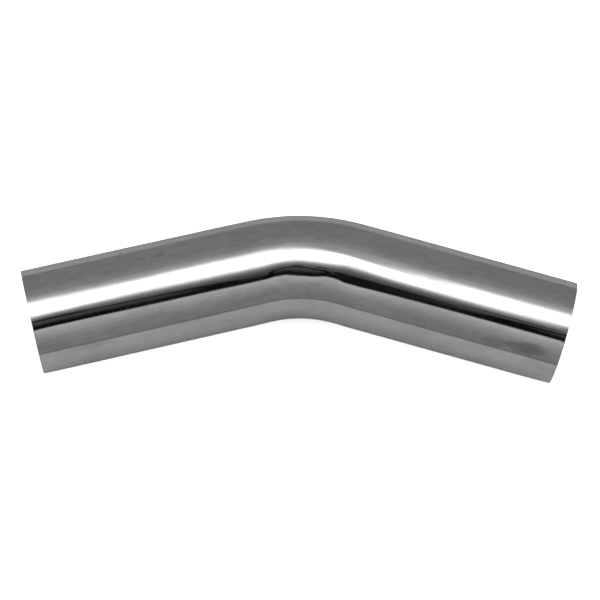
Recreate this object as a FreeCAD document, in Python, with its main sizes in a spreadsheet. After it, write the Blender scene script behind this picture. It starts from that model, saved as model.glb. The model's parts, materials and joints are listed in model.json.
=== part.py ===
import FreeCAD, Part
import math
import os
import Sketcher

# A round tube with one mandrel bend: a straight leg, a bend and a second straight leg, ends cut square.
# It lies flat. X runs along its length, the outside of the bend faces +Y, and z = 0 is its lowest line.
# The origin is the middle of the tube's own box, on that lowest level. Millimetres and degrees.

# name of the cell, value, what it measures
DRIVING_SIZES = [
    ("outside_diameter", 76.2, "across the outside of the tube"),
    ("wall_thickness", 1.65, "of the tube, the same all round"),
    ("bend_radius", 127.0, "of the bend, to the middle of the tube"),
    ("bend_angle", 30.0, "turn of the bend, in degrees"),
    ("left_leg", 169.0, "straight run from the left cut to the bend"),
    ("right_leg", 162.5, "straight run from the bend to the right cut"),
    ("rim_rounding", 0.4, "radius on the outer edge of each cut"),
    ("bore_deburr", 0.3, "chamfer on the inner edge of each cut"),
]


def add_size_sheet(doc):
    """Write each driving size into its own row, and give its value cell a name."""
    sheet = doc.addObject("Spreadsheet::Sheet", "sizes")
    for row, (name, value, meaning) in enumerate(DRIVING_SIZES, start=1):
        sheet.set(f"A{row}", name)
        sheet.set(f"B{row}", str(value))
        sheet.set(f"C{row}", meaning)
        sheet.setAlias(f"B{row}", name)
    doc.recompute()
    return sheet


def add_sketch(body, name, plane_role):
    """Start a sketch that lies on one of the body's own origin planes."""
    plane = next(feature for feature in body.Origin.OriginFeatures if feature.Role == plane_role)
    sketch = body.newObject("Sketcher::SketchObject", name)
    sketch.AttachmentSupport = [(plane, "")]
    sketch.MapMode = "FlatFace"
    return sketch


def bind(sketch, name, constraint, expression):
    """Add a dimension to the sketch and tie its value to the sheet."""
    index = sketch.addConstraint(constraint)
    sketch.renameConstraint(index, name)
    sketch.setExpression(f"Constraints.{name}", expression)


def draw_centreline(body, sheet):
    """Left leg along the body's +X from the left cut, the bend towards -Y, then the right leg."""
    radius = sheet.bend_radius
    turn = math.radians(sheet.bend_angle)
    bend_start = FreeCAD.Vector(sheet.left_leg, 0, 0)
    bend_centre = bend_start - FreeCAD.Vector(0, radius, 0)
    bend_end = bend_centre + FreeCAD.Vector(math.sin(turn), math.cos(turn), 0) * radius
    right_cut = bend_end + FreeCAD.Vector(math.cos(turn), -math.sin(turn), 0) * sheet.right_leg

    sketch = add_sketch(body, "centreline", "XY_Plane")
    circle = Part.Circle(bend_centre, FreeCAD.Vector(0, 0, 1), radius)
    left = sketch.addGeometry(Part.LineSegment(FreeCAD.Vector(), bend_start), False)
    bend = sketch.addGeometry(Part.ArcOfCircle(circle, math.pi / 2 - turn, math.pi / 2), False)
    right = sketch.addGeometry(Part.LineSegment(bend_end, right_cut), False)

    origin, first, last = (-1, 1), 1, 2
    sketch.addConstraint(Sketcher.Constraint("Coincident", left, first, *origin))
    sketch.addConstraint(Sketcher.Constraint("Horizontal", left))
    sketch.addConstraint(Sketcher.Constraint("Tangent", left, last, bend, last))
    sketch.addConstraint(Sketcher.Constraint("Tangent", bend, first, right, first))
    bind(sketch, "left_run", Sketcher.Constraint("Distance", left, sheet.left_leg), "sizes.left_leg")
    bind(sketch, "right_run", Sketcher.Constraint("Distance", right, sheet.right_leg), "sizes.right_leg")
    bind(sketch, "radius", Sketcher.Constraint("Radius", bend, radius), "sizes.bend_radius")
    bind(sketch, "turn", Sketcher.Constraint("Angle", bend, turn), "sizes.bend_angle * 1 deg")
    return sketch


def draw_section(body, sheet):
    """The tube's ring, on the plane of the left cut."""
    outer_radius = sheet.outside_diameter / 2
    inner_radius = outer_radius - sheet.wall_thickness
    sketch = add_sketch(body, "section", "YZ_Plane")
    rings = [
        ("outside", outer_radius, "sizes.outside_diameter / 2"),
        ("inside", inner_radius, "sizes.outside_diameter / 2 - sizes.wall_thickness"),
    ]
    centre, origin = 3, (-1, 1)
    for name, radius, expression in rings:
        circle = Part.Circle(FreeCAD.Vector(), FreeCAD.Vector(0, 0, 1), radius)
        ring = sketch.addGeometry(circle, False)
        sketch.addConstraint(Sketcher.Constraint("Coincident", ring, centre, *origin))
        bind(sketch, name, Sketcher.Constraint("Radius", ring, radius), expression)
    return sketch


def cut_edges(shape, radius):
    """Names of the round edges of this radius on the two flat cuts."""
    on_cuts = [edge for face in shape.Faces if isinstance(face.Surface, Part.Plane) for edge in face.Edges]
    return [
        f"Edge{number}"
        for number, edge in enumerate(shape.Edges, start=1)
        if any(edge.isSame(cut) for cut in on_cuts)
        and math.isclose(edge.Curve.Radius, radius, abs_tol=1e-4)
    ]


def lay_flat_and_centre(body):
    """Turn the tube so that both legs slope alike, stand it on z = 0 and centre its box."""
    half = "sizes.bend_angle / 2"
    rise = f"sizes.bend_radius * (1 - cos({half}))"
    reach = f"(sizes.left_leg + sizes.right_leg) / 2 * cos({half})"
    longer_leg = "max(sizes.left_leg; sizes.right_leg)"
    tube_radius = "sizes.outside_diameter / 2"
    # In Y, the box runs from the lower corner of the longer leg's cut to the outside of the bend.
    depth = f"({rise} + {longer_leg} * sin({half}) + {tube_radius} * (1 + cos({half})))"
    body.Placement.Rotation.Axis = FreeCAD.Vector(0, 0, 1)
    body.setExpression("Placement.Rotation.Angle", half)
    body.setExpression("Placement.Base.x", f"-sizes.bend_radius * sin({half}) - {reach}")
    body.setExpression("Placement.Base.y", f"{depth} / 2 - {tube_radius} - {rise} - sizes.left_leg * sin({half})")
    body.setExpression("Placement.Base.z", tube_radius)


def make_bent_tube(doc, sheet):
    """Sweep the ring along the centreline, then break the edges of both cuts."""
    body = doc.addObject("PartDesign::Body", "bent_tube")
    body.Label = "bent_tube"
    section = draw_section(body, sheet)
    centreline = draw_centreline(body, sheet)
    doc.recompute()

    tube = body.newObject("PartDesign::AdditivePipe", "tube")
    tube.Profile = section
    tube.Spine = (centreline, [])
    doc.recompute()

    outer_radius = sheet.outside_diameter / 2
    rounding = body.newObject("PartDesign::Fillet", "rounded_rims")
    rounding.Base = (tube, cut_edges(tube.Shape, outer_radius))
    rounding.setExpression("Radius", "sizes.rim_rounding")
    doc.recompute()

    deburr = body.newObject("PartDesign::Chamfer", "deburred_bore")
    deburr.Base = (rounding, cut_edges(rounding.Shape, outer_radius - sheet.wall_thickness))
    deburr.setExpression("Size", "sizes.bore_deburr")
    lay_flat_and_centre(body)
    doc.recompute()
    return body


def check_document(doc, parts):
    """Stop if any feature failed, or a part has no valid shape."""
    for item in doc.Objects:
        if {"Invalid", "Error"} & set(item.State):
            raise RuntimeError(f"{item.Name} failed to recompute")
    for part in parts:
        if part.Shape.isNull() or not part.Shape.isValid():
            raise RuntimeError(f"{part.Label} has no valid shape")


def check_volume(body, sheet):
    """A swept ring holds its section times its length, less the little that the edges lose."""
    outer_radius = sheet.outside_diameter / 2
    inner_radius = outer_radius - sheet.wall_thickness
    length = sheet.left_leg + sheet.right_leg + sheet.bend_radius * math.radians(sheet.bend_angle)
    expected = math.pi * (outer_radius**2 - inner_radius**2) * length
    if not math.isclose(body.Shape.Volume, expected, rel_tol=0.002):
        raise RuntimeError(f"volume {body.Shape.Volume:.0f} is not near {expected:.0f} cubic mm")


doc = FreeCAD.newDocument("bent_tube_model")
sheet = add_size_sheet(doc)
bent_tube = make_bent_tube(doc, sheet)
check_document(doc, [bent_tube])
check_volume(bent_tube, sheet)
os.makedirs("parts", exist_ok=True)
bent_tube.Shape.exportStep(f"parts/{bent_tube.Label}.step")
box = bent_tube.Shape.optimalBoundingBox(False)
print(f"{bent_tube.Label}: {box.XLength:.2f} x {box.YLength:.2f} x {box.ZLength:.2f} mm")
print(f"lowest {box.ZMin:.3f}, middle {box.Center.x:.3f}, {box.Center.y:.3f} mm")
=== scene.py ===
import json
import math

import bpy
from mathutils import Matrix, Vector


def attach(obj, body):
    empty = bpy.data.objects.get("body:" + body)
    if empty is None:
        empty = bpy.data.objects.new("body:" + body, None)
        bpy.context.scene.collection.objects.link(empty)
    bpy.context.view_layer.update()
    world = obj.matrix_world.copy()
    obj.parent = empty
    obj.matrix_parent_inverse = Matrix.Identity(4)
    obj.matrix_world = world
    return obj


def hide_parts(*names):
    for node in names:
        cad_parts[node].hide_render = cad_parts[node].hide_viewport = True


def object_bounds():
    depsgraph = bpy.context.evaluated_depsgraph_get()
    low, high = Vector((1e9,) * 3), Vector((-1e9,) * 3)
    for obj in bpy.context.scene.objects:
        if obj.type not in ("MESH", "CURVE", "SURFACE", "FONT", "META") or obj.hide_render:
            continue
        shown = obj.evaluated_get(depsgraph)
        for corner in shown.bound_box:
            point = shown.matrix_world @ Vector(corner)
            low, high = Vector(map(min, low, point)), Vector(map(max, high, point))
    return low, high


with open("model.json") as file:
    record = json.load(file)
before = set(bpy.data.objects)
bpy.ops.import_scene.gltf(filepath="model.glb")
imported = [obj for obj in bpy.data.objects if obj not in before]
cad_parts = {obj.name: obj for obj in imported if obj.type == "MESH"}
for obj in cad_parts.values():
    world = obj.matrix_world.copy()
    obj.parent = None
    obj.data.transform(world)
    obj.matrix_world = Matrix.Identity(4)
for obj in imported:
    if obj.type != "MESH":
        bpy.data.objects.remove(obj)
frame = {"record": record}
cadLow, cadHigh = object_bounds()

# A mandrel-bent, mirror-polished tube lying on a table. Metres throughout.

mm = 0.001
mounts = {mount["name"]: mount for mount in frame["record"]["mounts"]}


def grey(value):
    return (value, value, value, 1.0)


def setStops(ramp, stops):
    # stops are (position, grey), in order along the ramp
    while len(ramp.elements) > 1:
        ramp.elements.remove(ramp.elements[-1])
    for number, (position, value) in enumerate(stops):
        stop = ramp.elements[0] if number == 0 else ramp.elements.new(position)
        stop.position = position
        stop.color = grey(value)


def setCurve(curve, points):
    # points are (position, value) pairs, and the curve's ends are the first and the last of them
    while len(curve.points) < len(points):
        curve.points.new(0.5, 0.5)
    for point, (position, value) in zip(curve.points, points):
        point.location = (position, value)


class Nodes:
    # writes one tree of nodes: a material's, the world's or a geometry tree
    def __init__(self, tree):
        self.tree = tree
        tree.nodes.clear()

    def node(self, kind, settings=None, sockets=None):
        made = self.tree.nodes.new(kind)
        for name, value in (settings or {}).items():
            if name == "stops":
                setStops(made.color_ramp, value)
            elif name == "curve":
                made.mapping.use_clip = False
                setCurve(made.mapping.curves[0], value)
                made.mapping.update()
            else:
                setattr(made, name, value)
        for name, value in (sockets or {}).items():
            self.put(made.inputs[name], value)
        return made

    def put(self, socket, value):
        if isinstance(value, Wire):
            self.tree.links.new(value.socket, socket)
        else:
            socket.default_value = value

    def wire(self, kind, settings=None, sockets=None, out=0):
        return Wire(self, self.node(kind, settings, sockets).outputs[out])

    def parts(self, vector):
        split = self.node("ShaderNodeSeparateXYZ", None, {0: vector})
        return [Wire(self, output) for output in split.outputs]

    def vector(self, x, y, z=0.0):
        return self.wire("ShaderNodeCombineXYZ", None, {0: x, 1: y, 2: z})

    def maths(self, operation, *values):
        return self.wire("ShaderNodeMath", {"operation": operation}, dict(enumerate(values)))

    def noise(self, vector, scale, detail=2.0, rough=0.5, twist=0.0, finer=None):
        # scale is for each metre, and finer multiplies it along the vector's first two parts
        if finer:
            sides = {0: vector, 1: (*finer, 1.0)}
            vector = self.wire("ShaderNodeVectorMath", {"operation": "MULTIPLY"}, sides)
        shape = {"Detail": detail, "Roughness": rough, "Distortion": twist}
        return self.wire("ShaderNodeTexNoise", None, {"Vector": vector, "Scale": scale, **shape})

    def eased(self, value, none, full):
        # 0 where value is none and 1 where it is full, with soft ends
        limits = {"Value": value, "From Min": none, "From Max": full}
        return self.wire("ShaderNodeMapRange", {"interpolation_type": "SMOOTHSTEP"}, limits)

    def blend(self, share, first, second):
        # a mix of two colours
        settings = {"data_type": "RGBA"}
        return self.wire("ShaderNodeMix", settings, {0: share, 6: first, 7: second}, out=2)


class Wire:
    # one socket, so that sizes and masks can be written as sums
    def __init__(self, sheet, socket):
        self.sheet = sheet
        self.socket = socket

    def __add__(self, other):
        return self.sheet.maths("ADD", self, other)

    def __radd__(self, other):
        return self.sheet.maths("ADD", other, self)

    def __sub__(self, other):
        return self.sheet.maths("SUBTRACT", self, other)

    def __rsub__(self, other):
        return self.sheet.maths("SUBTRACT", other, self)

    def __mul__(self, other):
        return self.sheet.maths("MULTIPLY", self, other)

    def __rmul__(self, other):
        return self.sheet.maths("MULTIPLY", other, self)

    def __truediv__(self, other):
        return self.sheet.maths("DIVIDE", self, other)

    def __rtruediv__(self, other):
        return self.sheet.maths("DIVIDE", other, self)

    def __neg__(self):
        return self.sheet.maths("MULTIPLY", self, -1.0)

    def sine(self):
        return self.sheet.maths("SINE", self)

    def cosine(self):
        return self.sheet.maths("COSINE", self)

    def floor(self):
        return self.sheet.maths("FLOOR", self)

    def size(self):
        return self.sheet.maths("ABSOLUTE", self)

    def atLeast(self, other):
        return self.sheet.maths("MAXIMUM", self, other)

    def atMost(self, other):
        return self.sheet.maths("MINIMUM", self, other)


cameraPlan = {
    "turn": -5.94,       # degrees round from straight in front; less than 0 is to the left
    "height": 70.08,     # degrees above the table
    "roll": 7.02,        # degrees, the camera's top to the left
    "distance": 1.3578,
    "lens": 111.53,      # millimetres on a 36 mm frame
    "aim": (0.0005, -0.0024, 0.0),  # from the middle of the tube's box
}


def makeCamera(plan):
    turn, height = math.radians(plan["turn"]), math.radians(plan["height"])
    middle = (cadLow + cadHigh) / 2
    target = middle + Vector(plan["aim"])
    back = Vector((math.sin(turn) * math.cos(height), -math.cos(turn) * math.cos(height), math.sin(height)))
    data = bpy.data.cameras.new("camera")
    data.lens = plan["lens"]
    camera = bpy.data.objects.new("camera", data)
    bpy.context.scene.collection.objects.link(camera)
    facing = (-back).to_track_quat("-Z", "Y").to_matrix().to_4x4()
    rolled = Matrix.Rotation(math.radians(plan["roll"]), 4, "Z")
    camera.matrix_world = Matrix.Translation(target + back * plan["distance"]) @ facing @ rolled
    bpy.context.scene.camera = camera


makeCamera(cameraPlan)
print("camera placed")


tubePlan = {
    "rimRounding": 0.4 * mm,     # the outer edge of each cut, rounded by the buffing wheel
    "boreDeburr": 0.3 * mm,      # the small chamfer inside each cut
    "roundingFacets": 6,
    "cornerHold": 0.03 * mm,     # a ring this close to a corner keeps the mirror beside it true
    "rollLength": 7.0 * mm,      # the wheel also lowers the last stretch before a cut
    "rollDepth": 0.03 * mm,
    "rollStep": 1.0 * mm,        # how far apart the rings of points are there,
    "nearCut": 2.0 * mm,         # and over the last part of it
    "nearCutStep": 0.5 * mm,
    "legStep": 4.0 * mm,
    "bendStep": 1.6 * mm,
    "boreStep": 4.0 * mm,
    "rimStep": 0.3 * mm,
    "pointsAround": 240,
    "mergeWithin": 0.002 * mm,   # closes the seams where the grid's edges meet
    "flattening": 0.008,         # of the radius, in the plane of the bend
    "flatteningFade": 22.0 * mm,
    "rippleDepth": 0.05 * mm,    # left in the bore by the mandrel's balls, on the inner side
    "ripplePitch": 7.5 * mm,
}
outsideZone, rimZone, boreZone = 0, 1, 2


def readTube():
    # the tube's sizes and its place, worked out from the mounts that the frame gives
    sizes = dict(tubePlan)
    sizes["outerRadius"] = mounts["left_outside"]["dims"]["r_mm"] * mm
    sizes["boreRadius"] = mounts["left_bore"]["dims"]["r_mm"] * mm
    cuts, ways = {}, {}
    for side in ("left", "right"):
        face = mounts[side + "_cut_face"]
        cuts[side] = Vector((face["pos_m"][0], face["pos_m"][1], sizes["outerRadius"]))
        ways[side] = Vector(face["axis"])
        sizes[side + "Leg"] = mounts[side + "_outside"]["dims"]["length_mm"] * mm + sizes["rimRounding"]
    halfTurn = math.atan2(-ways["right"].y, ways["right"].x)
    # the straight legs, carried on past the bend, cross at one corner
    spread = cuts["right"] - cuts["left"]
    leftRun = (spread.x * math.sin(halfTurn) + spread.y * math.cos(halfTurn)) / math.sin(2 * halfTurn)
    corner = cuts["left"] - ways["left"] * leftRun
    tangentRun = leftRun - sizes["leftLeg"]
    sizes["bendRadius"] = tangentRun / math.tan(halfTurn)
    sizes["halfTurn"] = halfTurn
    sizes["halfArc"] = sizes["bendRadius"] * halfTurn
    cornerToApex = sizes["bendRadius"] * (1 / math.cos(halfTurn) - 1)
    sizes["apex"] = corner - Vector((0.0, cornerToApex, 0.0))
    return sizes


def spaced(start, stop, step):
    # even positions from start to stop, both of them included
    count = max(1, math.ceil(abs(stop - start) / step))
    return [start + (stop - start) * number / count for number in range(count + 1)]


def wallSection(sizes):
    # once round the wall as (place along the tube, radius, zone): outside, right rim, bore, left rim
    outer, bore = sizes["outerRadius"], sizes["boreRadius"]
    rounding, deburr, hold = sizes["rimRounding"], sizes["boreDeburr"], sizes["cornerHold"]
    halfArc, rollLength = sizes["halfArc"], sizes["rollLength"]
    leftCut = -halfArc - sizes["leftLeg"]
    rightCut = halfArc + sizes["rightLeg"]
    points = []

    def rolledRadius(place):
        nearer = min(place - leftCut, rightCut - place)
        inside = max(0.0, 1.0 - nearer / rollLength)
        return outer - sizes["rollDepth"] * inside ** 2

    # where the spacing of the rings changes along the outside, and the spacing from there on
    outsideStops = [
        (leftCut + rounding, hold),
        (leftCut + rounding + hold, sizes["nearCutStep"]),
        (leftCut + sizes["nearCut"], sizes["rollStep"]),
        (leftCut + rollLength, sizes["legStep"]),
        (-halfArc, sizes["bendStep"]),
        (halfArc, sizes["legStep"]),
        (rightCut - rollLength, sizes["rollStep"]),
        (rightCut - sizes["nearCut"], sizes["nearCutStep"]),
        (rightCut - rounding - hold, hold),
        (rightCut - rounding, None),
    ]
    for (start, step), (stop, _) in zip(outsideStops, outsideStops[1:]):
        points += [(place, rolledRadius(place), outsideZone) for place in spaced(start, stop, step)[:-1]]

    def rim(cut, side):
        # from the outside to the bore at one cut; side is +1 at the right cut and -1 at the left
        edge = rolledRadius(cut - side * rounding) - rounding
        found = []
        for facet in range(sizes["roundingFacets"] + 1):
            angle = 0.5 * math.pi * (1 - facet / sizes["roundingFacets"])
            place = cut - side * rounding * (1 - math.cos(angle))
            found.append((place, edge + rounding * math.sin(angle), rimZone))
        lowEdge = bore + deburr
        wall = spaced(edge - hold, lowEdge + hold, sizes["rimStep"])
        found += [(cut, radius, rimZone) for radius in wall]
        slope = [0.0, hold, deburr / 2, deburr - hold, deburr]
        found += [(cut - side * cutIn, lowEdge - cutIn, rimZone) for cutIn in slope]
        return found

    points += rim(rightCut, 1.0)
    boreEnds = (rightCut - deburr - hold, leftCut + deburr + hold)
    points += [(place, bore, boreZone) for place in spaced(*boreEnds, sizes["boreStep"])]
    points += reversed([(place, radius, rimZone) for place, radius, _ in rim(leftCut, -1.0)])
    return points


def sectionMesh(points):
    # the section as a bare mesh, along the tube on X and radius on Z. A point's course is how far
    # round the wall it is: on the outside, how far it is from the middle of the bend
    mesh = bpy.data.meshes.new("wallSection")
    mesh.from_pydata([(place, 0.0, radius) for place, radius, _ in points], [], [])
    courses = [points[0][0]]
    for previous, point in zip(points, points[1:]):
        courses.append(courses[-1] + math.hypot(point[0] - previous[0], point[1] - previous[1]))
    # each attribute is filled before the next is made, because making one moves the others
    zones = [zone for _, _, zone in points]
    for name, kind, values in (("zone", "INT", zones), ("course", "FLOAT", courses)):
        attribute = mesh.attributes.new(name, kind, "POINT")
        attribute.data.foreach_set("value", values)
    return mesh


def addSocket(tree, name, kind, direction="INPUT"):
    return tree.interface.new_socket(name=name, in_out=direction, socket_type=kind)


tubeInputs = ("bendRadius", "halfTurn", "outerRadius", "flattening", "flatteningFade",
              "rippleDepth", "ripplePitch", "mergeWithin")


def bendTree(finishes):
    # spins the wall section into a straight blank, then bends it over a round former
    tree = bpy.data.node_groups.new("bendTube", "GeometryNodeTree")
    addSocket(tree, "section", "NodeSocketGeometry")
    addSocket(tree, "pointsAround", "NodeSocketInt")
    addSocket(tree, "apex", "NodeSocketVector")
    for name in tubeInputs:
        addSocket(tree, name, "NodeSocketFloat")
    addSocket(tree, "tube", "NodeSocketGeometry", "OUTPUT")
    sheet = Nodes(tree)
    given = sheet.node("NodeGroupInput")
    take = {output.name: Wire(sheet, output) for output in given.outputs if output.name}

    # one column of the grid for each point of the section, one row for each step round
    count = sheet.wire("GeometryNodeAttributeDomainSize", None, {"Geometry": take["section"]})
    gridSizes = {"Size X": 1.0, "Size Y": 1.0, "Vertices X": count, "Vertices Y": take["pointsAround"] + 1}
    grid = sheet.node("GeometryNodeMeshGrid", None, gridSizes)
    columnShare, rowShare, _ = sheet.parts(Wire(sheet, grid.outputs["UV Map"]))
    roundingGuard = 0.01    # of a column
    column = (columnShare * (count - 1) + roundingGuard).floor()
    angle = rowShare * (2 * math.pi)

    def sampled(kind, value):
        # the section's value for each column of the grid
        sockets = {"Geometry": take["section"], "Index": column}
        found = sheet.node("GeometryNodeSampleIndex", {"data_type": kind}, sockets)
        sheet.put(found.inputs["Value"], value)
        return Wire(sheet, found.outputs["Value"])

    def stored(kind, name):
        named = sheet.node("GeometryNodeInputNamedAttribute", {"data_type": kind}, {"Name": name})
        return Wire(sheet, named.outputs["Attribute"])

    place = sheet.wire("GeometryNodeInputPosition")
    along, _, radius = sheet.parts(sampled("FLOAT_VECTOR", place))
    zone = sampled("INT", stored("INT", "zone"))
    course = sampled("FLOAT", stored("FLOAT", "course"))

    # the blank's own section: the seam of the pattern is underneath
    sideways = -angle.sine()
    bendRadius, halfTurn = take["bendRadius"], take["halfTurn"]
    halfArc = bendRadius * halfTurn
    inBend = sheet.eased(along.size(), halfArc + take["flatteningFade"], halfArc - take["flatteningFade"])
    inBore = sheet.maths("COMPARE", zone, float(boreZone), 0.5)
    innerSide = (-sideways).atLeast(0.0)
    wave = (along / take["ripplePitch"] * (2 * math.pi)).cosine()
    ripple = wave * innerSide * inBend * inBore * take["rippleDepth"]
    across = (radius - ripple) * sideways * (1.0 - take["flattening"] * inBend)
    upward = (radius - ripple) * angle.cosine() * -1.0

    # the bend: an arc between the tangent points, and what is left over runs on straight
    turned = (along / bendRadius).atMost(halfTurn).atLeast(-halfTurn)
    leftOver = along - turned * bendRadius
    turnSine, turnCosine = turned.sine(), turned.cosine()
    bentX = (bendRadius + across) * turnSine + leftOver * turnCosine
    bentY = (bendRadius + across) * turnCosine - bendRadius - leftOver * turnSine
    bent = sheet.vector(bentX, bentY, upward)
    moved = sheet.wire("ShaderNodeVectorMath", {"operation": "ADD"}, {0: bent, 1: take["apex"]})

    def store(geometry, name, kind, domain, value):
        settings = {"data_type": kind, "domain": domain}
        return sheet.wire("GeometryNodeStoreNamedAttribute", settings,
                          {"Geometry": geometry, "Name": name, "Value": value})

    # the flat pattern is in metres: along the wall, and round it at the outer radius
    flat = sheet.vector(course, angle * take["outerRadius"])
    skin = store(Wire(sheet, grid.outputs["Mesh"]), "UVMap", "FLOAT2", "CORNER", flat)
    skin = store(skin, "wallZone", "INT", "FACE", zone)
    skin = sheet.wire("GeometryNodeSetPosition", None, {"Geometry": skin, "Position": moved})
    skin = sheet.wire("GeometryNodeMergeByDistance", None,
                      {"Geometry": skin, "Distance": take["mergeWithin"]})
    skin = sheet.wire("GeometryNodeSetShadeSmooth", None, {"Geometry": skin, "Shade Smooth": True})
    skin = sheet.wire("GeometryNodeRealizeInstances", None, {"Geometry": skin})
    for number in (outsideZone, rimZone, boreZone):
        chosen = sheet.wire("FunctionNodeCompare", {"data_type": "INT", "operation": "EQUAL"},
                            {2: stored("INT", "wallZone"), 3: number})
        skin = sheet.wire("GeometryNodeSetMaterial", None,
                          {"Geometry": skin, "Selection": chosen, "Material": finishes[number]})
    result = sheet.node("NodeGroupOutput")
    sheet.put(result.inputs["tube"], skin)
    return tree


def makeTube(sizes, finishes):
    section = bpy.data.objects.new("wallSection", sectionMesh(wallSection(sizes)))
    bpy.context.scene.collection.objects.link(section)
    bend = section.modifiers.new("bend", "NODES")
    bend.node_group = bendTree(finishes)
    for item in bend.node_group.interface.items_tree:
        if item.name in sizes:
            bend[item.identifier] = sizes[item.name]
    evaluated = section.evaluated_get(bpy.context.evaluated_depsgraph_get())
    mesh = bpy.data.meshes.new_from_object(evaluated)
    mesh.name = "bentTube"
    if mesh.materials[0] is None:
        # the grid brings an empty first slot: no face uses it
        mesh.materials.pop(index=0)
    section.modifiers.clear()
    bpy.data.objects.remove(section)
    tube = bpy.data.objects.new("bentTube", mesh)
    bpy.context.scene.collection.objects.link(tube)
    return tube


polishPlan = {
    "reflectance": 0.90,
    "cleanest": 1.07,              # the cleanest polish, against that reflectance
    "roughness": 0.032,
    "leastRoughness": 0.015,
    "buffLines": 0.8 * mm,         # about how far apart the faint lengthwise lines are
    "lineRate": 9.0,               # how often a line changes, for each metre along the tube
    "lineTone": 0.20,              # how much they change the tone
    "lineRoughness": 0.024,
    "lineHeight": 0.00012 * mm,
    "cloudSize": 30.0 * mm,        # patches of thin haze
    "cloudEdge": (0.38, 0.68),     # the noise's values where a patch begins and where it is full
    "cloudTone": 0.87,             # the haziest patch, as a share of the clean polish
    "cloudRoughness": 0.02,
    "mottleSize": 5.0 * mm,        # smaller, weaker patches all over
    "mottleEdge": (0.35, 0.65),
    "mottleTone": 0.93,
    "waveSize": 26.0 * mm,         # how far apart the surface's slow waves are
    "waveHeight": 0.010 * mm,
    "dustRate": 42.0,              # dusty patches, for each metre
    "dustEdge": (0.60, 0.68),
    "speckSize": 5.0 * mm,         # about one dust speck in a square of this side, where it is dusty
    "speckEdge": (0.07, 0.03),     # a speck's soft edge, as shares of that side
    "speckGrey": 0.34,
    "speckCover": 0.6,
    "speckRoughness": 0.35,
    # smears left by the polishing cloth: where they are along the outside, from the middle of the
    # bend, and round it from underneath, with how long and how wide each is
    "smears": [
        {"at": (171.0 * mm, 88.0 * mm), "size": (17.0 * mm, 6.0 * mm), "tone": 0.62},
        {"at": (148.0 * mm, 86.0 * mm), "size": (12.0 * mm, 4.5 * mm), "tone": 0.82},
        {"at": (8.0 * mm, 94.0 * mm), "size": (9.0 * mm, 2.5 * mm), "tone": 0.86},
        {"at": (-31.0 * mm, 91.0 * mm), "size": (9.0 * mm, 4.5 * mm), "tone": 0.90},
        {"at": (-42.0 * mm, 138.0 * mm), "size": (13.0 * mm, 6.0 * mm), "tone": 0.91},
        {"at": (-103.0 * mm, 137.0 * mm), "size": (5.0 * mm, 2.6 * mm), "tone": 0.80},
        {"at": (-116.0 * mm, 136.5 * mm), "size": (4.0 * mm, 2.0 * mm), "tone": 0.84},
        {"at": (-130.0 * mm, 149.3 * mm), "size": (1.3 * mm, 1.0 * mm), "tone": 0.20},
        {"at": (-165.0 * mm, 78.5 * mm), "size": (20.0 * mm, 3.5 * mm), "tone": 0.84},
    ],
    "smearEdge": (1.15, 0.1),      # a smear's soft edge, in shares of its size squared
    "raggedRate": 190.0,           # how ragged that edge is: bumps for each metre,
    "raggedReach": 1.5,            # and how much they shift it
}


def newMaterial(name):
    material = bpy.data.materials.new(name)
    material.use_nodes = True
    sheet = Nodes(material.node_tree)
    shader = sheet.node("ShaderNodeBsdfPrincipled", None, {"Metallic": 1.0})
    output = sheet.node("ShaderNodeOutputMaterial")
    sheet.put(output.inputs["Surface"], Wire(sheet, shader.outputs["BSDF"]))
    place = sheet.node("ShaderNodeTexCoord")
    return material, sheet, shader, Wire(sheet, place.outputs["Object"]), Wire(sheet, place.outputs["UV"])


def setSurface(sheet, shader, tone, roughness, height):
    # what varies over a surface; the height of its fine relief is in metres
    bump = sheet.wire("ShaderNodeBump", None, {"Strength": 1.0, "Distance": 1.0, "Height": height})
    for name, value in {"Base Color": tone, "Roughness": roughness, "Normal": bump}.items():
        sheet.put(shader.inputs[name], value)


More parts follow.
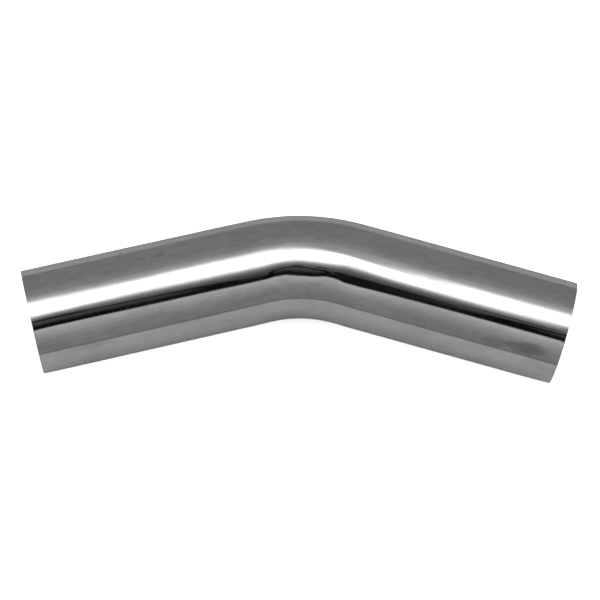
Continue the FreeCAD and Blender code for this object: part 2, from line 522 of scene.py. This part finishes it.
def polishedOutside(plan):
    # mirror polish: faint lengthwise buffing lines, thin haze, a few smears and specks of dust
    material, sheet, shader, place, flat = newMaterial("polishedOutside")
    lines = sheet.noise(flat, 1.0, 3.0, 0.6, finer=(plan["lineRate"], 1 / plan["buffLines"]))
    clouds = sheet.noise(flat, 1 / plan["cloudSize"], 5.0, 0.62, twist=0.5, finer=(0.45, 1.0))
    haze = sheet.eased(clouds, *plan["cloudEdge"])
    mottle = sheet.noise(flat, 1 / plan["mottleSize"], 3.0, 0.6, finer=(0.5, 1.0))
    shine = 1.0 - haze * (1.0 - plan["cloudTone"])
    shine = shine * (1.0 - sheet.eased(mottle, *plan["mottleEdge"]) * (1.0 - plan["mottleTone"]))
    shine = shine * (1.0 - (lines - 0.5) * plan["lineTone"])

    # each smear is a soft oval with a ragged edge
    along, around, _ = sheet.parts(flat)
    ragged = sheet.noise(flat, plan["raggedRate"], 3.0, 0.7, finer=(0.6, 1.0)) - 0.5
    for smear in plan["smears"]:
        lengthwise = (along - smear["at"][0]) / smear["size"][0]
        across = (around - smear["at"][1]) / smear["size"][1]
        away = lengthwise * lengthwise + across * across + ragged * plan["raggedReach"]
        shine = shine * (1.0 - sheet.eased(away, *plan["smearEdge"]) * (1.0 - smear["tone"]))

    cells = sheet.node("ShaderNodeTexVoronoi", None, {"Vector": flat, "Scale": 1 / plan["speckSize"]})
    fromSpeck = Wire(sheet, cells.outputs["Distance"])
    dusty = sheet.eased(sheet.noise(place, plan["dustRate"], 1.0), *plan["dustEdge"])
    specks = sheet.eased(fromSpeck, *plan["speckEdge"]) * dusty
    clean = sheet.blend(shine, grey(0.0), grey(plan["reflectance"] * plan["cleanest"]))
    tone = sheet.blend(specks * plan["speckCover"], clean, grey(plan["speckGrey"]))
    roughness = plan["roughness"] + haze * plan["cloudRoughness"] + (lines - 0.5) * plan["lineRoughness"]
    roughness = (roughness + specks * plan["speckRoughness"]).atLeast(plan["leastRoughness"])
    waves = sheet.noise(flat, 1 / plan["waveSize"], 1.0, 0.4, finer=(0.5, 1.0))
    setSurface(sheet, shader, tone, roughness, waves * plan["waveHeight"] + lines * plan["lineHeight"])
    return material


rimPlan = {
    "reflectance": 0.80,
    "stainGrey": 0.62,
    "stainRate": 260.0,       # stains, for each metre
    "stainEdge": (0.35, 0.75),
    "roughness": 0.24,
    "fileLines": 0.09 * mm,   # about how far apart the brushed lines are
    "lineRate": 60.0,         # how often a line changes, for each metre round the tube
    "lineRoughness": 0.16,
    "lineHeight": 0.004 * mm,
}


def cutRim(plan):
    # sawn square, deburred and brushed: fine lines run round the wall
    material, sheet, shader, _, flat = newMaterial("cutRim")
    lines = sheet.noise(flat, 1.0, 3.0, 0.7, finer=(1 / plan["fileLines"], plan["lineRate"]))
    stains = sheet.eased(sheet.noise(flat, plan["stainRate"], 3.0), *plan["stainEdge"])
    tone = sheet.blend(stains, grey(plan["reflectance"]), grey(plan["stainGrey"]))
    roughness = plan["roughness"] + lines * plan["lineRoughness"]
    setSurface(sheet, shader, tone, roughness, lines * plan["lineHeight"])
    return material


borePlan = {
    "reflectance": 0.70,
    "bareMetal": 0.96,           # the rest is matt oxide and dried lubricant
    "roughness": 0.30,
    "drawLines": 0.7 * mm,       # about how far apart the die lines are
    "lineRate": 5.0,             # how often a line changes, for each metre along the tube
    "lineTone": 0.84,            # the darkest line, as a share of the reflectance
    "lineRoughness": 0.12,
    "lineHeight": 0.006 * mm,
    "scoreRate": (3.0, 420.0),   # deeper, brighter scores, for each metre along and round it
    "scoreEdge": (0.66, 0.74),
    "scoreGrey": 0.86,
    "scoreCover": 0.5,
    "scoreSmoother": 0.12,
    "scoreDepth": 0.01 * mm,
    "blotchSize": 22.0 * mm,     # dried lubricant
    "blotchEdge": (0.48, 0.72),
    "blotchColour": (0.47, 0.465, 0.455, 1.0),
    "blotchCover": 0.5,
    "blotchRoughness": 0.14,
}


def drawnBore(plan):
    # left as the tube was drawn: dull, with long die lines and blotches of dried lubricant
    material, sheet, shader, _, flat = newMaterial("drawnBore")
    shader.inputs["Metallic"].default_value = plan["bareMetal"]
    lines = sheet.noise(flat, 1.0, 4.0, 0.65, finer=(plan["lineRate"], 1 / plan["drawLines"]))
    scores = sheet.eased(sheet.noise(flat, 1.0, 1.0, finer=plan["scoreRate"]), *plan["scoreEdge"])
    blotches = sheet.noise(flat, 1 / plan["blotchSize"], 4.0, 0.6, twist=0.5, finer=(0.6, 1.0))
    dried = sheet.eased(blotches, *plan["blotchEdge"])
    tone = sheet.blend(lines, grey(plan["reflectance"]), grey(plan["reflectance"] * plan["lineTone"]))
    tone = sheet.blend(dried * plan["blotchCover"], tone, plan["blotchColour"])
    tone = sheet.blend(scores * plan["scoreCover"], tone, grey(plan["scoreGrey"]))
    roughness = plan["roughness"] + lines * plan["lineRoughness"]
    roughness = roughness + dried * plan["blotchRoughness"] - scores * plan["scoreSmoother"]
    height = lines * plan["lineHeight"] - scores * plan["scoreDepth"]
    setSurface(sheet, shader, tone, roughness, height)
    return material


tubeSizes = readTube()
finishes = [polishedOutside(polishPlan), cutRim(rimPlan), drawnBore(borePlan)]
print("finishes ready:", len(finishes))

bentTube = makeTube(tubeSizes, finishes)
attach(bentTube, "root")
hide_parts("bent_tube")
print("tube bent:", len(bentTube.data.polygons), "faces")


roomPlan = {
    # how bright the polish looks, out of 255, where it mirrors each height of the room in degrees:
    # 0 is level in front, 90 straight up, 180 level behind, and both ends straight down
    "heights": [
        (-90, 143), (-20, 143), (-11, 104), (-5, 101), (-1, 111), (10, 112), (22, 118), (32, 129),
        (40, 142), (51, 160), (52.6, 158), (54.2, 80), (55.4, 12), (57, 3), (60.5, 5), (64, 44),
        (67, 60), (71, 70), (75, 98), (78, 122), (81, 166), (84, 228), (87, 275), (108, 275),
        (111, 246), (114, 198), (118, 156), (128, 122), (144, 110), (190, 109), (200, 124), (270, 132),
    ],
    # how far the edge of each panel over the tube hangs below its usual height, in degrees, along
    # the tube: the bend's ends are at -1 and 1
    "frontPanelEdge": [
        (-1.2, 6.0), (-1.0, 5.4), (-0.93, 4.4), (-0.85, 3.1), (-0.75, 2.2), (-0.65, 2.0), (-0.5, 2.2),
        (-0.35, 3.9), (-0.15, 5.2), (0.0, 4.4), (0.2, 3.3), (0.35, 2.0), (0.5, 0.2), (0.7, 0.9),
        (0.85, 0.9), (0.95, 1.7), (1.2, 2.4),
    ],
    "overheadEdge": [
        (-1.2, -2.5), (-1.0, -1.6), (-0.8, 0.9), (-0.5, 2.3), (-0.1, 1.7), (0.05, 0.5), (0.25, -0.3),
        (0.5, 0.0), (0.8, 0.7), (1.0, 1.2), (1.2, 1.4),
    ],
    # the same for the far edge of the overhead panel, but against degrees along the tube
    "farEdge": [
        (-9.0, 0.0), (-5.4, 0.2), (-4.2, 1.0), (-2.5, 0.1), (-0.5, -0.9), (0.7, -0.7), (1.4, 0.3),
        (1.9, 2.1), (2.3, 2.4), (2.9, 6.4), (3.5, 8.0), (4.2, 6.4), (5.2, 4.9), (6.2, 2.8), (7.0, 1.4),
        (8.2, 1.7), (9.4, 1.9), (12.0, 2.0),
    ],
    "edgeReach": 6.0,        # no edge hangs further than this from its usual height,
    "farReach": 12.0,        # and the far edge no further than this
    # where those edges come in and give way: the height with none of it, then the height with all
    "edgesBegin": (0.0, 40.0),
    "frontToOverhead": (57.0, 76.0),
    "edgesEnd": (104.0, 92.0),
    "farBegins": (90.0, 99.0),
    "farEnds": (129.0, 115.0),
    # the bend's ends are mirrored closer together the higher the room is
    "bendMiddle": 2.2,       # degrees along the tube
    "bendSpread": 0.262,     # half of what the bend takes up, for each degree below bendCloses
    "bendCloses": 104.0,
    "bendLeast": 12.0,       # and never for fewer degrees than this
    # darker things that it mirrors, each at (height, degrees along the tube) with a size in degrees.
    # The ring hangs with the panels' edges, and the others don't
    "ring": {"at": (62.0, 4.0), "size": (8.3, 8.2), "level": 4},
    "ringEdge": (0.15, 0.0525),   # the soft edge of its line, in shares of its size
    "marks": [
        {"at": (71.7, 4.2), "size": (2.2, 1.3), "level": 34},
        {"at": (70.2, -1.5), "size": (0.95, 2.1), "level": 12},
        {"at": (64.5, -7.3), "size": (3.6, 2.4), "level": 8},
        {"at": (60.5, -9.6), "size": (5.5, 2.2), "level": 12},
    ],
    "markEdge": (1.25, 0.55),
    # what it mirrors far out past either end, at degrees above level
    "sideWall": [
        (-90, 120), (-2, 104), (2, 110), (6, 132), (9, 156), (9.8, 40), (11, 14), (12.2, 60),
        (14.5, 180), (18, 262), (64, 262), (74, 150), (90, 118),
    ],
    "sideEdge": (36.0, 56.0),     # degrees along the tube over which that takes over
    "forDiffuse": 2.7,            # the plain white light on matt things
    "background": 1.0,            # what the camera sees behind everything
    "floorTone": 0.94,
    "floorHalf": 12.0,            # half of its side
    "floorDrop": 0.4 * mm,        # below the tube
    # the table top's tones are painted shade: a darker copy of the pale floor, seen only in the polish, and
    # darker towards the back
    "tableFrontShadeTone": 0.119,
    "tableBackShadeTone": 0.107,
    "tableBlend": 0.06,           # the one turns into the other this far either side of the middle
    "tableDrop": 0.2 * mm,
    "tableFront": 0.46,           # how far the table reaches in front of the middle,
    "tableBack": 0.24,            # behind it
    "tableSide": 0.75,            # and to each side
}


def lightFor(level, reflectance):
    # the light that a mirror of that reflectance needs to look this bright, out of 255: the
    # screen's own curve, worked backwards
    share = level / 255
    return ((share + 0.055) / 1.055) ** 2.4 / reflectance


def levelRamp(sheet, height, levels, reflectance):
    # the light at each height, from how bright the polish should look there
    low, high = levels[0][0], levels[-1][0]
    stops = [((degrees - low) / (high - low), lightFor(level, reflectance)) for degrees, level in levels]
    return sheet.wire("ShaderNodeValToRGB", {"stops": stops}, {"Fac": (height - low) / (high - low)})


def edgeCurve(sheet, value, points, reach):
    # a smooth curve through (place, degrees) points, whose degrees stay within reach of 0
    low = points[0][0]
    span = points[-1][0] - low
    shares = [((place - low) / span, (degrees + reach) / (2 * reach)) for place, degrees in points]
    curve = sheet.node("ShaderNodeFloatCurve", {"curve": shares}, {"Value": (value - low) / span})
    return Wire(sheet, curve.outputs["Value"]) * (2 * reach) - reach


def edgeDrop(sheet, plan, height, side):
    # the panels over the tube aren't level or straight: degrees to add to the height, which change
    # along the tube
    halfBend = (plan["bendCloses"] - height).atLeast(plan["bendLeast"]) * plan["bendSpread"]
    alongBend = (side - plan["bendMiddle"]) / halfBend
    front = edgeCurve(sheet, alongBend, plan["frontPanelEdge"], plan["edgeReach"])
    overhead = edgeCurve(sheet, alongBend, plan["overheadEdge"], plan["edgeReach"])
    upper = sheet.eased(height, *plan["frontToOverhead"])
    near = front * (1.0 - upper) + overhead * upper
    near = near * sheet.eased(height, *plan["edgesEnd"]) * sheet.eased(height, *plan["edgesBegin"])
    far = edgeCurve(sheet, side, plan["farEdge"], plan["farReach"])
    return near + far * sheet.eased(height, *plan["farBegins"]) * sheet.eased(height, *plan["farEnds"])


def fromMark(sheet, mark, height, side):
    # how far from a mark's middle, as a share of its size
    up = (height - mark["at"][0]) / mark["size"][0]
    across = (side - mark["at"][1]) / mark["size"][1]
    return sheet.maths("SQRT", up * up + across * across)


def lightRoom(plan, reflectance):
    # the soft room that the tube mirrors; the backdrop and the floor see plain white light
    world = bpy.data.worlds.new("room")
    world.use_nodes = True
    bpy.context.scene.world = world
    sheet = Nodes(world.node_tree)
    facing = sheet.node("ShaderNodeTexCoord")
    sideways, depth, upward = sheet.parts(Wire(sheet, facing.outputs["Generated"]))
    inDegrees = 180 / math.pi
    height = sheet.maths("ARCTAN2", upward, -depth) * inDegrees
    side = sheet.maths("ARCSINE", sideways) * inDegrees
    aboveLevel = sheet.maths("ARCSINE", upward) * inDegrees

    lifted = height + edgeDrop(sheet, plan, height, side)
    # what lies behind and below comes out at less than -90, and belongs at the top of the ramp
    lowest, highest = plan["heights"][0][0], plan["heights"][-1][0]
    wrapped = sheet.maths("WRAP", lifted, highest, lowest)
    room = levelRamp(sheet, wrapped, plan["heights"], reflectance)
    ring = (fromMark(sheet, plan["ring"], lifted, side) - 1.0).size()
    masks = [(plan["ring"], sheet.eased(ring, *plan["ringEdge"]))]
    for mark in plan["marks"]:
        masks.append((mark, sheet.eased(fromMark(sheet, mark, height, side), *plan["markEdge"])))
    for mark, mask in masks:
        room = sheet.blend(mask, room, grey(lightFor(mark["level"], reflectance)))
    wall = levelRamp(sheet, aboveLevel, plan["sideWall"], reflectance)
    room = sheet.blend(sheet.eased(side.size(), *plan["sideEdge"]), room, wall)

    seen = sheet.node("ShaderNodeLightPath")
    byCamera = Wire(sheet, seen.outputs["Is Camera Ray"])
    byPolish = Wire(sheet, seen.outputs["Is Glossy Ray"])
    plain = sheet.blend(byCamera, grey(plan["forDiffuse"]), grey(plan["background"]))
    light = sheet.wire("ShaderNodeBackground", None, {"Color": sheet.blend(byPolish, plain, room)})
    output = sheet.node("ShaderNodeOutputWorld")
    sheet.put(output.inputs["Surface"], light)


def plane(name, rangeX, rangeY, height, material):
    mesh = bpy.data.meshes.new(name)
    (lowX, highX), (lowY, highY) = rangeX, rangeY
    corners = [(lowX, lowY, height), (highX, lowY, height), (highX, highY, height), (lowX, highY, height)]
    mesh.from_pydata(corners, [], [(0, 1, 2, 3)])
    mesh.materials.append(material)
    made = bpy.data.objects.new(name, mesh)
    bpy.context.scene.collection.objects.link(made)
    return made


def paint(name, frontTone, backTone, blendOver):
    # matt paint whose tone changes from front to back
    material, sheet, shader, place, _ = newMaterial(name)
    _, depth, _ = sheet.parts(place)
    tones = sheet.blend(sheet.eased(depth, -blendOver, blendOver), grey(frontTone), grey(backTone))
    sheet.put(shader.inputs["Base Color"], tones)
    for socket, value in {"Metallic": 0.0, "Roughness": 1.0, "Specular IOR Level": 0.0}.items():
        shader.inputs[socket].default_value = value
    return material


def layFloor(plan):
    # the pale floor is what the camera sees, and the grey table top, a darker copy of it in the same place,
    # is what the polish mirrors: its grey is painted shade
    floorPaint = paint("floorPaint", plan["floorTone"], plan["floorTone"], plan["tableBlend"])
    floorRange = (-plan["floorHalf"], plan["floorHalf"])
    floor = plane("floor", floorRange, floorRange, -plan["floorDrop"], floorPaint)
    floor.visible_glossy = False
    # painted shade: the floor's darker copy, grey in front and darker towards the back
    tableShadePaint = paint("tableShadePaint", plan["tableFrontShadeTone"], plan["tableBackShadeTone"], plan["tableBlend"])
    table = plane("shadedTableTop", (-plan["tableSide"], plan["tableSide"]),
                  (-plan["tableFront"], plan["tableBack"]), -plan["tableDrop"], tableShadePaint)
    table.visible_camera = False
    table.visible_diffuse = False
    table.visible_shadow = False


lightRoom(roomPlan, polishPlan["reflectance"])
layFloor(roomPlan)
bpy.context.scene.view_settings.view_transform = "Standard"
print("room and floor ready")
